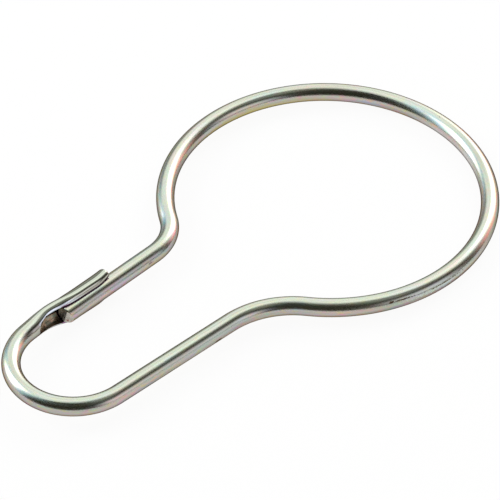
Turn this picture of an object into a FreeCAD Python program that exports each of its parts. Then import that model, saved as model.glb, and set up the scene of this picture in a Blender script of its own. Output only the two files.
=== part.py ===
"""Curtain hook: one length of plated steel wire, bent to a pear shape.

The wire starts at the sprung free end, runs up the free leg, round the rod
ring, down the plain leg and round the small loop that carries the curtain.
Past the loop the same wire is flattened and rolled to an open trough, the
catch, and the free end lies in it.

Frame, in millimetres: the origin is the centre of the rod ring, +X points
away from the small loop, +Y to the side of the free leg, and Z is normal to
the plane of the wire, with Z = 0 on its centre line.
"""
import FreeCAD, Part
import Sketcher
import math
import os

V = FreeCAD.Vector

doc = FreeCAD.newDocument("CurtainHook")

# Driving dimensions

SIZES = [
    # wire
    ("wire_radius", 1.25),
    ("end_round", 0.20),
    # rod ring
    ("ring_radius", 22.0),
    # free leg, which leans towards the catch at its end
    ("leg_angle", 3.6),
    ("free_neck_radius", 7.5),
    # plain leg
    ("plain_leg_y", 9.3),
    ("plain_neck_radius", 12.2),
    # small loop, which ends at the root of the catch, just past its top
    ("loop_x", 45.8),
    ("loop_radius", 8.25),
    ("root_step", 1.08),
    # catch: the free end face, from the root and below the top of the loop
    ("end_reach", 5.43),
    ("end_drop", 0.94),
    # catch: its first section and its open tip, from the free end face
    ("catch_start", -3.7375),
    ("catch_length", 8.22),
    # catch: the hollow that the free end lies in
    ("wire_clearance", 0.15),
    ("nose_x", -3.13),
    ("nose_radius", 1.12),
    ("nose_taper", 20.0),
    ("tip_round", 0.10),
]

# Catch sections, evenly spaced from the root to the open tip, as multiples of
# the wire's radius. Each has the outermost point of the back, the place of the
# lip's centre across and up from the middle plane, the radius of the lip, the
# height at which the lip ends and the innermost point of the inner face.
SECTIONS = [
    ("swell", 2.032, 1.072, 0.192, 0.928, 0.440, 0.096),
    ("shoulder", 1.920, 1.104, 0.736, 0.660, 0.920, 0.320),
    ("flare", 1.872, 0.888, 0.864, 0.688, 1.024, 0.120),
    ("throat", 1.824, 0.400, 1.280, 0.480, 1.072, -0.120),
    ("trough", 1.800, 0.240, 1.360, 0.424, 1.088, -0.200),
    ("waist", 1.800, 0.200, 1.368, 0.424, 1.088, -0.240),
    ("rise", 1.800, 0.200, 1.368, 0.424, 1.088, -0.240),
    ("tip", 1.800, 0.440, 1.360, 0.424, 1.088, 0.010),
]
SECTION_SIZES = ("back", "lip_across", "lip_up", "lip", "lip_low", "face")

sheet = doc.addObject("Spreadsheet::Sheet", "sizes")
value = {}


def put(row, alias, number):
    """Write one driving dimension into the sheet under its alias."""
    sheet.set("A%d" % row, alias)
    sheet.set("B%d" % row, repr(number))
    sheet.setAlias("B%d" % row, alias)
    value[alias] = number


row = 1
for alias, number in SIZES:
    put(row, alias, number)
    row += 1
for section in SECTIONS:
    for suffix, number in zip(SECTION_SIZES, section[1:]):
        put(row, section[0] + "_" + suffix, number)
        row += 1
doc.recompute()

body = doc.addObject("PartDesign::Body", "curtain_hook")
body.Label = "curtain_hook"
planes = {feature.Role: feature for feature in body.Origin.OriginFeatures}


def sketch_on(name, plane, base=None, axis=None, angle=None):
    """Make a sketch on a plane of the body, moved by bound offsets.

    base holds three formulas for the offset, axis is the axis of the turn in
    the plane's own directions and angle is the formula for the turn.
    """
    sketch = body.newObject("Sketcher::SketchObject", name)
    sketch.AttachmentSupport = [(planes[plane], "")]
    sketch.MapMode = "FlatFace"
    if axis is not None:
        sketch.AttachmentOffset = FreeCAD.Placement(V(0, 0, 0), FreeCAD.Rotation(axis, 1.0))
        sketch.setExpression("AttachmentOffset.Rotation.Angle", angle)
    if base is not None:
        for letter, formula in zip("xyz", base):
            sketch.setExpression("AttachmentOffset.Base." + letter, formula)
    return sketch


def bind(sketch, kind, args, name, formula, start):
    """Add one named dimension to a sketch and bind it to a formula."""
    index = sketch.addConstraint(Sketcher.Constraint(kind, *args, start))
    sketch.renameConstraint(index, name)
    sketch.setExpression("Constraints." + name, formula)


def arc(centre, radius, start, end):
    """Counter-clockwise arc in a sketch, angles in radians."""
    circle = Part.Circle(V(centre[0], centre[1], 0), V(0, 0, 1), radius)
    return Part.ArcOfCircle(circle, start, end)


def solve(sketch):
    """Stop where a sketch does not close on its own dimensions."""
    state = sketch.solve()
    if state != 0:
        raise RuntimeError("sketch %s does not solve: %d" % (sketch.Name, state))


# Catch frame: origin at the free end face, first axis along the free leg

END_X = "(sizes.end_reach - sizes.root_step - sizes.loop_x)"
END_Y = "(2 * sizes.loop_radius - sizes.plain_leg_y - sizes.end_drop)"
LEG = math.radians(value["leg_angle"])
ALONG = V(math.cos(LEG), math.sin(LEG), 0)
ACROSS = V(-math.sin(LEG), math.cos(LEG), 0)
FREE_END = V(
    value["end_reach"] - value["root_step"] - value["loop_x"],
    2 * value["loop_radius"] - value["plain_leg_y"] - value["end_drop"],
    0,
)


def station(distance):
    """Offset formulas of a plane square to the catch at a distance along it."""
    across = END_Y + " + %s * sin(sizes.leg_angle)" % distance
    along = END_X + " + %s * cos(sizes.leg_angle)" % distance
    return (across, "0", along)


# Root of the catch: the plain round wire where the small loop ends

ROOT_X = "-(sizes.loop_x + sizes.root_step)"
ROOT_RISE = "sqrt(sizes.loop_radius * sizes.loop_radius - sizes.root_step * sizes.root_step)"
ROOT_Y = "sizes.loop_radius - sizes.plain_leg_y + " + ROOT_RISE
ROOT_TURN = "asin(sizes.root_step / sizes.loop_radius)"
ROOT_PLACE = (ROOT_Y, "0", ROOT_X)


def root_section(name):
    """Round section of the wire, in four arcs to match the other sections."""
    sketch = sketch_on(name, "YZ_Plane", ROOT_PLACE, V(0, 1, 0), ROOT_TURN)
    r = value["wire_radius"]
    corners = [math.radians(a) for a in (-45.0, 45.0, 150.0, 210.0, 315.0)]
    for start, end in zip(corners[:-1], corners[1:]):
        sketch.addGeometry(arc((0, 0), r, start, end))
    for i in range(4):
        sketch.addConstraint(Sketcher.Constraint("Coincident", i, 3, -1, 1))
    for i in range(3):
        sketch.addConstraint(Sketcher.Constraint("Coincident", i, 2, i + 1, 1))
    sketch.addConstraint(Sketcher.Constraint("Horizontal", 3, 2, 0, 1))
    bind(sketch, "Radius", (0,), "wire", "sizes.wire_radius", r)
    bind(sketch, "DistanceY", (-1, 1, 0, 2), "back_end", "sizes.wire_radius * sin(45)", r * math.sin(corners[1]))
    sketch.addConstraint(Sketcher.Constraint("Vertical", 0, 2, 0, 1))
    bind(sketch, "DistanceY", (-1, 1, 1, 2), "lip_end", "sizes.wire_radius * sin(150)", r * math.sin(corners[2]))
    sketch.addConstraint(Sketcher.Constraint("Vertical", 1, 2, 2, 2))
    solve(sketch)
    return sketch


def catch_section(order, name):
    """One section of the catch blank: back arc, two lips and inner face."""
    wire = value["wire_radius"]
    back, across, up, lip, low, face = [wire * value[name + "_" + size] for size in SECTION_SIZES]
    key = "sizes.wire_radius * sizes.%s_" % name
    at = "(sizes.catch_start + %d * (sizes.catch_length - sizes.catch_start) / %d)" % (order, len(SECTIONS) - 1)
    sketch = sketch_on(name + "_section", "YZ_Plane", station(at), V(0, 1, 0), "sizes.leg_angle")
    # the back touches both lips and passes through its outermost point
    deep = back - across
    back_radius = (deep * deep + up * up - lip * lip) / (2.0 * (deep - lip))
    back_centre = back - back_radius
    top = math.atan2(up, across - back_centre)
    # the inner face joins the ends of the lips
    foot = math.pi - math.asin((low - up) / lip)
    foot_across = across + lip * math.cos(foot)
    sag = foot_across - face
    face_radius = (sag * sag + low * low) / (2.0 * sag)
    face_centre = face + face_radius
    turn = math.atan2(low, foot_across - face_centre)
    sketch.addGeometry(arc((back_centre, 0), back_radius, -top, top))
    sketch.addGeometry(arc((across, up), lip, top, foot))
    sketch.addGeometry(arc((face_centre, 0), face_radius, turn, 2 * math.pi - turn))
    sketch.addGeometry(arc((across, -up), lip, -foot, -top))
    sketch.addGeometry(Part.Point(V(back, 0, 0)), True)
    sketch.addGeometry(Part.Point(V(face, 0, 0)), True)
    sketch.addConstraint(Sketcher.Constraint("Tangent", 0, 2, 1, 1))
    sketch.addConstraint(Sketcher.Constraint("Coincident", 1, 2, 2, 1))
    sketch.addConstraint(Sketcher.Constraint("Coincident", 2, 2, 3, 1))
    sketch.addConstraint(Sketcher.Constraint("Tangent", 3, 2, 0, 1))
    sketch.addConstraint(Sketcher.Constraint("Equal", 1, 3))
    sketch.addConstraint(Sketcher.Constraint("Vertical", 1, 3, 3, 3))
    for circle, point in ((0, 4), (2, 5)):
        sketch.addConstraint(Sketcher.Constraint("PointOnObject", circle, 3, -1))
        sketch.addConstraint(Sketcher.Constraint("PointOnObject", point, 1, -1))
        sketch.addConstraint(Sketcher.Constraint("PointOnObject", point, 1, circle))
    bind(sketch, "DistanceX", (-1, 1, 4, 1), "back", key + "back", back)
    bind(sketch, "DistanceX", (-1, 1, 5, 1), "face", key + "face", face)
    bind(sketch, "DistanceX", (-1, 1, 1, 3), "lip_across", key + "lip_across", across)
    bind(sketch, "DistanceY", (-1, 1, 1, 3), "lip_up", key + "lip_up", up)
    bind(sketch, "Radius", (1,), "lip", key + "lip", lip)
    bind(sketch, "DistanceY", (-1, 1, 1, 2), "lip_low", key + "lip_low", low)
    solve(sketch)
    return sketch


blank = body.newObject("PartDesign::AdditiveLoft", "catch_blank")
blank.Profile = root_section("root_section")
blank.Sections = [catch_section(order, section[0]) for order, section in enumerate(SECTIONS)]
blank.Ruled = False
doc.recompute()

# Hollow of the catch: round behind the free end, open towards the other leg

HOLLOW = "(sizes.wire_radius + sizes.wire_clearance)"
hollow_radius = value["wire_radius"] + value["wire_clearance"]
nose = value["nose_x"]
nose_radius = value["nose_radius"]
taper = math.radians(value["nose_taper"])
# the nose widens to the full hollow along two straight cheeks
cheek = V(nose - nose_radius * math.sin(taper), nose_radius * math.cos(taper), 0)
nose_end = nose + (hollow_radius - nose_radius / math.cos(taper)) / math.tan(taper)
mouth_end = value["catch_length"] + value["wire_radius"]
MOUTH_END = "sizes.catch_length + sizes.wire_radius"
LEG_PLACE = (END_X, END_Y, "0")


def bore_profile():
    """Half profile of the round part of the hollow, on the axis of the leg."""
    sketch = sketch_on("bore_profile", "XY_Plane", LEG_PLACE, V(0, 0, 1), "sizes.leg_angle")
    foot = V(mouth_end, 0, 0)
    corner = V(mouth_end, hollow_radius, 0)
    sketch.addGeometry(Part.LineSegment(V(nose - nose_radius, 0, 0), foot))
    sketch.addGeometry(Part.LineSegment(foot, corner))
    sketch.addGeometry(Part.LineSegment(corner, V(nose_end, hollow_radius, 0)))
    sketch.addGeometry(Part.LineSegment(V(nose_end, hollow_radius, 0), V(cheek.x, cheek.y, 0)))
    sketch.addGeometry(arc((nose, 0), nose_radius, math.pi / 2 + taper, math.pi))
    sketch.addConstraint(Sketcher.Constraint("Coincident", 0, 2, 1, 1))
    sketch.addConstraint(Sketcher.Constraint("Coincident", 1, 2, 2, 1))
    sketch.addConstraint(Sketcher.Constraint("Coincident", 2, 2, 3, 1))
    sketch.addConstraint(Sketcher.Constraint("Tangent", 3, 2, 4, 1))
    sketch.addConstraint(Sketcher.Constraint("Coincident", 4, 2, 0, 1))
    sketch.addConstraint(Sketcher.Constraint("Vertical", 1))
    sketch.addConstraint(Sketcher.Constraint("Horizontal", 2))
    sketch.addConstraint(Sketcher.Constraint("PointOnObject", 0, 1, -1))
    sketch.addConstraint(Sketcher.Constraint("PointOnObject", 0, 2, -1))
    sketch.addConstraint(Sketcher.Constraint("PointOnObject", 4, 3, -1))
    bind(sketch, "DistanceY", (-1, 1, 1, 2), "hollow", HOLLOW, hollow_radius)
    bind(sketch, "Radius", (4,), "nose_radius", "sizes.nose_radius", nose_radius)
    bind(sketch, "DistanceX", (-1, 1, 4, 3), "nose", "sizes.nose_x", nose)
    bind(sketch, "Angle", (0, 1, 3, 2), "taper", "sizes.nose_taper", taper)
    bind(sketch, "DistanceX", (-1, 1, 0, 2), "mouth_end", MOUTH_END, mouth_end)
    solve(sketch)
    return sketch


def slot_outline():
    """Outline of the open side of the hollow, seen from the other leg."""
    place = (END_X, "0", "-" + END_Y)
    sketch = sketch_on("slot_outline", "XZ_Plane", place, V(0, 1, 0), "sizes.leg_angle")
    sketch.addGeometry(arc((nose, 0), nose_radius, math.pi / 2 + taper, 1.5 * math.pi - taper))
    sketch.addGeometry(Part.LineSegment(V(cheek.x, -cheek.y, 0), V(nose_end, -hollow_radius, 0)))
    sketch.addGeometry(Part.LineSegment(V(nose_end, -hollow_radius, 0), V(mouth_end, -hollow_radius, 0)))
    sketch.addGeometry(Part.LineSegment(V(mouth_end, -hollow_radius, 0), V(mouth_end, hollow_radius, 0)))
    sketch.addGeometry(Part.LineSegment(V(mouth_end, hollow_radius, 0), V(nose_end, hollow_radius, 0)))
    sketch.addGeometry(Part.LineSegment(V(nose_end, hollow_radius, 0), V(cheek.x, cheek.y, 0)))
    sketch.addConstraint(Sketcher.Constraint("Tangent", 0, 2, 1, 1))
    sketch.addConstraint(Sketcher.Constraint("Coincident", 1, 2, 2, 1))
    sketch.addConstraint(Sketcher.Constraint("Coincident", 2, 2, 3, 1))
    sketch.addConstraint(Sketcher.Constraint("Coincident", 3, 2, 4, 1))
    sketch.addConstraint(Sketcher.Constraint("Coincident", 4, 2, 5, 1))
    sketch.addConstraint(Sketcher.Constraint("Tangent", 5, 2, 0, 1))
    sketch.addConstraint(Sketcher.Constraint("Horizontal", 2))
    sketch.addConstraint(Sketcher.Constraint("Horizontal", 4))
    sketch.addConstraint(Sketcher.Constraint("PointOnObject", 0, 3, -1))
    sketch.addConstraint(Sketcher.Constraint("Symmetric", 3, 1, 3, 2, -1))
    sketch.addConstraint(Sketcher.Constraint("Vertical", 1, 2, 4, 2))
    bind(sketch, "Radius", (0,), "nose_radius", "sizes.nose_radius", nose_radius)
    bind(sketch, "DistanceX", (-1, 1, 0, 3), "nose", "sizes.nose_x", nose)
    bind(sketch, "DistanceY", (-1, 1, 3, 2), "hollow", HOLLOW, hollow_radius)
    bind(sketch, "DistanceX", (-1, 1, 3, 1), "mouth_end", MOUTH_END, mouth_end)
    bind(sketch, "Angle", (-1, 1, 5, 2), "taper", "sizes.nose_taper", taper)
    solve(sketch)
    return sketch


bore = body.newObject("PartDesign::Groove", "catch_bore")
bore.Profile = bore_profile()
bore.ReferenceAxis = (bore.Profile[0], ["H_Axis"])
bore.Angle = 360.0
doc.recompute()

slot = body.newObject("PartDesign::Pocket", "catch_slot")
slot.Profile = slot_outline()
slot.setExpression("Length", "2 * " + HOLLOW)
slot.Reversed = True
doc.recompute()


def in_leg_frame(point):
    """Place of a point along, across and up from the free leg."""
    away = point - FREE_END
    return away.dot(ALONG), away.dot(ACROSS), point.z


def edges_where(shape, test):
    """Names of the edges of a shape that pass a test."""
    return ["Edge%d" % (i + 1) for i, edge in enumerate(shape.Edges) if not edge.Degenerated and test(edge)]


def points_of(edge, count=7):
    """Points spread along an edge, in the frame of the leg."""
    first, last = edge.FirstParameter, edge.LastParameter
    step = (last - first) / (count - 1)
    return [in_leg_frame(edge.valueAt(first + i * step)) for i in range(count)]


# Open tip: the outer edge is rounded about the axis of the free leg

TIP_OUTER = "(sizes.wire_radius * sizes.tip_back)"
TIP_INNER = "(%s - sizes.tip_round)" % TIP_OUTER


def tip_profile():
    """Profile of the stock that is turned off the outer edge of the tip."""
    sketch = sketch_on("tip_profile", "XY_Plane", LEG_PLACE, V(0, 0, 1), "sizes.leg_angle")
    length = value["catch_length"]
    tip_round = value["tip_round"]
    outer = value["wire_radius"] * value["tip_back"]
    inner = outer - tip_round
    beyond = length + tip_round
    above = outer + tip_round
    sketch.addGeometry(arc((length - tip_round, inner), tip_round, 0, math.pi / 2))
    sketch.addGeometry(Part.LineSegment(V(length - tip_round, outer, 0), V(length - tip_round, above, 0)))
    sketch.addGeometry(Part.LineSegment(V(length - tip_round, above, 0), V(beyond, above, 0)))
    sketch.addGeometry(Part.LineSegment(V(beyond, above, 0), V(beyond, inner, 0)))
    sketch.addGeometry(Part.LineSegment(V(beyond, inner, 0), V(length, inner, 0)))
    sketch.addConstraint(Sketcher.Constraint("Coincident", 0, 2, 1, 1))
    for i in range(1, 4):
        sketch.addConstraint(Sketcher.Constraint("Coincident", i, 2, i + 1, 1))
    sketch.addConstraint(Sketcher.Constraint("Coincident", 4, 2, 0, 1))
    sketch.addConstraint(Sketcher.Constraint("Vertical", 0, 2, 0, 3))
    sketch.addConstraint(Sketcher.Constraint("Horizontal", 0, 1, 0, 3))
    for line, kind in ((1, "Vertical"), (2, "Horizontal"), (3, "Vertical"), (4, "Horizontal")):
        sketch.addConstraint(Sketcher.Constraint(kind, line))
    bind(sketch, "DistanceX", (-1, 1, 0, 1), "length", "sizes.catch_length", length)
    bind(sketch, "DistanceY", (-1, 1, 0, 1), "inner", TIP_INNER, inner)
    bind(sketch, "Radius", (0,), "tip_round", "sizes.tip_round", tip_round)
    bind(sketch, "DistanceX", (0, 1, 3, 1), "beyond", "sizes.tip_round", tip_round)
    bind(sketch, "DistanceY", (0, 2, 2, 1), "above", "sizes.tip_round", tip_round)
    solve(sketch)
    return sketch


trim = body.newObject("PartDesign::Groove", "tip_trim")
trim.Profile = tip_profile()
trim.ReferenceAxis = (trim.Profile[0], ["H_Axis"])
trim.Angle = 360.0
doc.recompute()


# Wire: free end, free leg, neck, rod ring, neck, plain leg, small loop

def arc_between(centre, radius, start, end, turn):
    """Arc from one point to another, turn is 1 for counter-clockwise."""
    first = math.atan2(start.y - centre.y, start.x - centre.x)
    last = math.atan2(end.y - centre.y, end.x - centre.x)
    if turn < 0:
        first, last = last, first
    if last <= first:
        last += 2 * math.pi
    return arc((centre.x, centre.y), radius, first, last)


def neck(start, direction, inward, radius):
    """Where a neck arc leaves a leg, its centre, and where it meets the ring.

    start and direction give the line of the leg, and inward points from the
    leg to the far side of the bend.
    """
    ring = value["ring_radius"]
    offset = start - inward * radius
    along = offset.dot(direction)
    reach = math.sqrt(along * along - offset.dot(offset) + (ring + radius) ** 2)
    centre = offset + direction * (-along - reach)
    return centre + inward * radius, centre, centre * (ring / (ring + radius))


def wire_path():
    """Centre line of the wire, from the free end to the root of the catch."""
    sketch = sketch_on("wire_path", "XY_Plane")
    ring = value["ring_radius"]
    plain_start = V(-value["loop_x"], -value["plain_leg_y"], 0)
    free_top, free_centre, free_ring = neck(FREE_END, ALONG, -ACROSS, value["free_neck_radius"])
    plain_top, plain_centre, plain_ring = neck(plain_start, V(1, 0, 0), V(0, 1, 0), value["plain_neck_radius"])
    loop = value["loop_radius"]
    loop_centre = plain_start + V(0, loop, 0)
    step = value["root_step"]
    root = loop_centre + V(-step, math.sqrt(loop * loop - step * step), 0)
    sketch.addGeometry(arc_between(loop_centre, loop, root, plain_start, 1))
    sketch.addGeometry(Part.LineSegment(plain_start, plain_top))
    sketch.addGeometry(arc_between(plain_centre, value["plain_neck_radius"], plain_top, plain_ring, -1))
    sketch.addGeometry(arc_between(V(0, 0, 0), ring, plain_ring, free_ring, 1))
    sketch.addGeometry(arc_between(free_centre, value["free_neck_radius"], free_ring, free_top, -1))
    sketch.addGeometry(Part.LineSegment(free_top, FREE_END))
    # the two neck arcs bend the other way, so their ends are swapped
    sketch.addConstraint(Sketcher.Constraint("Tangent", 0, 2, 1, 1))
    sketch.addConstraint(Sketcher.Constraint("Tangent", 1, 2, 2, 2))
    sketch.addConstraint(Sketcher.Constraint("Tangent", 2, 1, 3, 1))
    sketch.addConstraint(Sketcher.Constraint("Tangent", 3, 2, 4, 2))
    sketch.addConstraint(Sketcher.Constraint("Tangent", 4, 1, 5, 1))
    sketch.addConstraint(Sketcher.Constraint("Coincident", 3, 3, -1, 1))
    sketch.addConstraint(Sketcher.Constraint("Horizontal", 1))
    bind(sketch, "Radius", (0,), "loop", "sizes.loop_radius", loop)
    bind(sketch, "DistanceX", (0, 3, -1, 1), "loop_x", "sizes.loop_x", value["loop_x"])
    bind(sketch, "DistanceX", (0, 1, 0, 3), "root_step", "sizes.root_step", step)
    bind(sketch, "DistanceY", (1, 1, -1, 1), "plain_leg_y", "sizes.plain_leg_y", value["plain_leg_y"])
    bind(sketch, "Radius", (2,), "plain_neck", "sizes.plain_neck_radius", value["plain_neck_radius"])
    bind(sketch, "Radius", (3,), "ring", "sizes.ring_radius", ring)
    bind(sketch, "Radius", (4,), "free_neck", "sizes.free_neck_radius", value["free_neck_radius"])
    bind(sketch, "Angle", (-1, 1, 5, 2), "leg_angle", "sizes.leg_angle", LEG)
    bind(sketch, "DistanceX", (5, 2, -1, 1), "free_end_x", "-" + END_X, -FREE_END.x)
    bind(sketch, "DistanceY", (-1, 1, 5, 2), "free_end_y", END_Y, FREE_END.y)
    solve(sketch)
    return sketch


def wire_section():
    """Round section that the wire is swept with."""
    sketch = sketch_on("wire_section", "YZ_Plane", ROOT_PLACE, V(0, 1, 0), ROOT_TURN)
    sketch.addGeometry(Part.Circle(V(0, 0, 0), V(0, 0, 1), value["wire_radius"]))
    sketch.addConstraint(Sketcher.Constraint("Coincident", 0, 3, -1, 1))
    bind(sketch, "Radius", (0,), "wire", "sizes.wire_radius", value["wire_radius"])
    solve(sketch)
    return sketch


wire = body.newObject("PartDesign::AdditivePipe", "wire")
wire.Profile = wire_section()
wire.Spine = (wire_path(), [])
doc.recompute()


def is_free_end_edge(edge):
    """True for the edges round the free end face."""
    return all(abs(p[0]) < 1e-4 and math.hypot(p[1], p[2]) > value["wire_radius"] - 1e-3 for p in points_of(edge))


end = body.newObject("PartDesign::Fillet", "end_round")
end.Base = (wire, edges_where(wire.Shape, is_free_end_edge))
end.Radius = value["end_round"]
end.setExpression("Radius", "sizes.end_round")
body.Tip = end
doc.recompute()

# Every object is sound and the hook is one solid before anything is written

for item in doc.Objects:
    if "Invalid" in item.State or "Error" in item.State:
        raise RuntimeError("%s: %s" % (item.Name, item.State))
hook = body.Shape
if hook.isNull() or not hook.isValid() or len(hook.Solids) != 1:
    raise RuntimeError("the hook is not one sound solid")
print("solids %d, volume %.2f, %s" % (len(hook.Solids), hook.Volume, hook.BoundBox))

os.makedirs("parts", exist_ok=True)
hook.exportStep("parts/curtain_hook.step")
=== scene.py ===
"""Dressed scene of a curtain hook bent from one length of plated spring wire.

The hook is rebuilt as one fine mesh in the frame of its CAD solid: the round
wire from the free end, round the rod ring and the small loop, and then the
same wire flattened and rolled to the catch.  The studio is a pale floor under
a white surround.  Two lamps behind the hook light it, and dark and pale cloths
round it, which only the wire mirrors, draw the bands along the wire.
"""
import logging
import math
from dataclasses import dataclass, field, fields
from enum import Enum
from typing import Union

import bpy
import numpy as np
from mathutils import Matrix, Vector


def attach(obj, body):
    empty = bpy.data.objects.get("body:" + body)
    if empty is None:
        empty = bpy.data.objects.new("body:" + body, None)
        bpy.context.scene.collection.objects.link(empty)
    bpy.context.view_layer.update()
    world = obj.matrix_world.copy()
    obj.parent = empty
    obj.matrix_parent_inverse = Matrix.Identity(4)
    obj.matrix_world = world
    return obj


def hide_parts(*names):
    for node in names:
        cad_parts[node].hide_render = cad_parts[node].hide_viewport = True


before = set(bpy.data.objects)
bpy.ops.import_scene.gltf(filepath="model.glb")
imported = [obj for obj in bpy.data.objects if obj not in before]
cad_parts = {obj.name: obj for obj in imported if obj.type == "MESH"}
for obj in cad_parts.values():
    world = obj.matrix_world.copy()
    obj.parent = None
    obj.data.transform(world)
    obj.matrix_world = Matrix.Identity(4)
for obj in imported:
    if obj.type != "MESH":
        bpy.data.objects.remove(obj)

LOG = logging.getLogger("curtain_hook")
MM = 0.001
NODE = "curtain_hook"
WHITE = (1.0, 1.0, 1.0)
WIRE_RADIUS = 1.25 * MM
POINT_MARKS = ("straight_wire", "polish_and_tip_highlight", "edge", "shaded")

Socket = bpy.types.NodeSocket
Sockets = bpy.types.bpy_prop_collection
Value = Union[Socket, float, tuple]


class Surface(Enum):
    """Material slots of the hook, in the order of its mesh."""

    PLATED = 0
    SHEARED = 1


# Course of the wire


@dataclass(frozen=True)
class WireCourse:
    """Centre line of the bent wire, from the free end to the catch's root.

    The lengths are the driving dimensions of the bends, in metres, and the
    angle of the free leg is in degrees.
    """

    ring_radius: float = 22.0 * MM
    leg_angle: float = 3.6
    free_neck_radius: float = 7.5 * MM
    plain_leg_y: float = 9.3 * MM
    plain_neck_radius: float = 12.2 * MM
    loop_x: float = 45.8 * MM
    loop_radius: float = 8.25 * MM
    root_step: float = 1.08 * MM
    end_reach: float = 5.43 * MM
    end_drop: float = 0.94 * MM
    step: float = 0.34 * MM

    def free_end(self) -> np.ndarray:
        """Return the centre of the free end face in the plane of the wire."""
        across = 2 * self.loop_radius - self.plain_leg_y - self.end_drop
        return np.array([self.end_reach - self.root_step - self.loop_x, across])

    def leg_axes(self) -> tuple[np.ndarray, np.ndarray]:
        """Find the directions along the free leg and outwards from it.

        Returns:
            Two unit vectors.
        """
        angle = math.radians(self.leg_angle)
        along = np.array([math.cos(angle), math.sin(angle)])
        return along, np.array([-along[1], along[0]])

    def root(self) -> np.ndarray:
        """Return the point of the small loop where the catch begins."""
        rise = math.sqrt(self.loop_radius ** 2 - self.root_step ** 2)
        return self.loop_centre() + np.array([-self.root_step, rise])

    def root_turn(self) -> float:
        """Return the lean of the wire at the root from the X axis, in radians."""
        return math.asin(self.root_step / self.loop_radius)

    def loop_centre(self) -> np.ndarray:
        """Return the centre of the small loop."""
        return np.array([-self.loop_x, self.loop_radius - self.plain_leg_y])

    def neck(self, start: np.ndarray, along: np.ndarray, inward: np.ndarray, radius: float) -> tuple:
        """Find the bend that joins a leg to the rod ring.

        Args:
            start: A point of the leg's centre line.
            along: Direction of the leg towards the ring.
            inward: Direction from the leg to the other leg.
            radius: Radius of the bend's centre line.

        Returns:
            Where the bend leaves the leg, its centre, and where it meets the ring.
        """
        offset = start - inward * radius
        shift = float(offset @ along)
        gap = self.ring_radius + radius
        reach = math.sqrt(shift ** 2 - float(offset @ offset) + gap ** 2)
        centre = offset + along * (-shift - reach)
        return centre + inward * radius, centre, centre * (self.ring_radius / gap)

    def arc(self, centre: np.ndarray, start: np.ndarray, end: np.ndarray, turn: int) -> np.ndarray:
        """Divide an arc into short steps.

        Args:
            centre: Centre of the arc.
            start: Its first point.
            end: Its last point.
            turn: 1 for counter-clockwise and -1 for clockwise.

        Returns:
            The points of the arc, one in each row.
        """
        radius = float(np.linalg.norm(start - centre))
        first = math.atan2(start[1] - centre[1], start[0] - centre[0])
        last = math.atan2(end[1] - centre[1], end[0] - centre[0])
        while turn * (last - first) < 0:
            last += turn * 2 * math.pi
        count = max(2, int(abs(last - first) * radius / self.step) + 1)
        angles = np.linspace(first, last, count + 1)
        return centre + radius * np.column_stack([np.cos(angles), np.sin(angles)])

    def line(self, start: np.ndarray, end: np.ndarray) -> np.ndarray:
        """Return points on a straight run from start to end."""
        count = max(2, int(np.linalg.norm(end - start) / self.step))
        return start + (end - start) * np.linspace(0.0, 1.0, count + 1)[:, None]

    def centre_line(self) -> np.ndarray:
        """Run through the whole course from the free end to the root.

        Returns:
            The points, as rows of x and y.
        """
        along, outward = self.leg_axes()
        end = self.free_end()
        plain_foot = np.array([-self.loop_x, -self.plain_leg_y])
        x_axis, y_axis = np.eye(2)
        free_top, free_centre, free_ring = self.neck(end, along, -outward, self.free_neck_radius)
        plain_top, plain_centre, plain_ring = self.neck(plain_foot, x_axis, y_axis, self.plain_neck_radius)
        runs = [
            self.line(end, free_top),
            self.arc(free_centre, free_top, free_ring, 1),
            self.arc(np.zeros(2), free_ring, plain_ring, -1),
            self.arc(plain_centre, plain_ring, plain_top, 1),
            self.line(plain_top, plain_foot),
            self.arc(self.loop_centre(), plain_foot, self.root(), -1),
        ]
        return np.vstack([runs[0]] + [run[1:] for run in runs[1:]])


# Sections of the catch


@dataclass(frozen=True)
class CatchSection:
    """One section of the rolled wire, in metres, in the frame of the free leg.

    across runs outwards from the axis of the free leg and up along Z.
    """

    back: float
    across: float
    up: float
    lip: float
    low: float
    face: float

    def half_outline(self) -> np.ndarray:
        """Draw the upper half of the outline with three arcs.

        Returns:
            Points from the back to the face, across and up.
        """
        deep = self.back - self.across
        slack = max(deep - self.lip, 0.15 * self.up ** 2 / self.lip, 1e-9)
        back_radius = (deep + self.lip) / 2 + self.up ** 2 / (2 * slack)
        centre = self.back - back_radius
        top = math.atan2(max(self.up, 1e-9), self.across - centre + 1e-12)
        foot = math.pi - math.asin((self.low - self.up) / self.lip)
        back_angles = np.linspace(0.0, top, 40)
        lip_angles = np.linspace(top, foot, 90)[1:]
        foot_across = self.across + self.lip * math.cos(foot)
        sag = foot_across - self.face
        face_radius = (sag ** 2 + self.low ** 2) / (2 * sag)
        face_centre = self.face + face_radius
        turn = math.atan2(self.low, foot_across - face_centre)
        face_angles = np.linspace(turn, math.pi, 60)[1:]
        pieces = [
            (centre, 0.0, back_radius, back_angles),
            (self.across, self.up, self.lip, lip_angles),
            (face_centre, 0.0, face_radius, face_angles),
        ]
        return np.vstack([
            np.column_stack([a + r * np.cos(t), u + r * np.sin(t)]) for a, u, r, t in pieces
        ])


def distances(line: np.ndarray) -> np.ndarray:
    """Return how far each point of a polyline lies along it."""
    return np.r_[0.0, np.cumsum(np.linalg.norm(np.diff(line, axis=0), axis=1))]


def spread(line: np.ndarray, count: int) -> np.ndarray:
    """Spread points evenly along a polyline.

    Args:
        line: Points of the polyline, one in each row.
        count: How many steps to make.

    Returns:
        count + 1 points, with the two ends.
    """
    lengths = distances(line)
    places = np.linspace(0.0, lengths[-1], count + 1)
    return np.column_stack([np.interp(places, lengths, column) for column in line.T])


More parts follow.
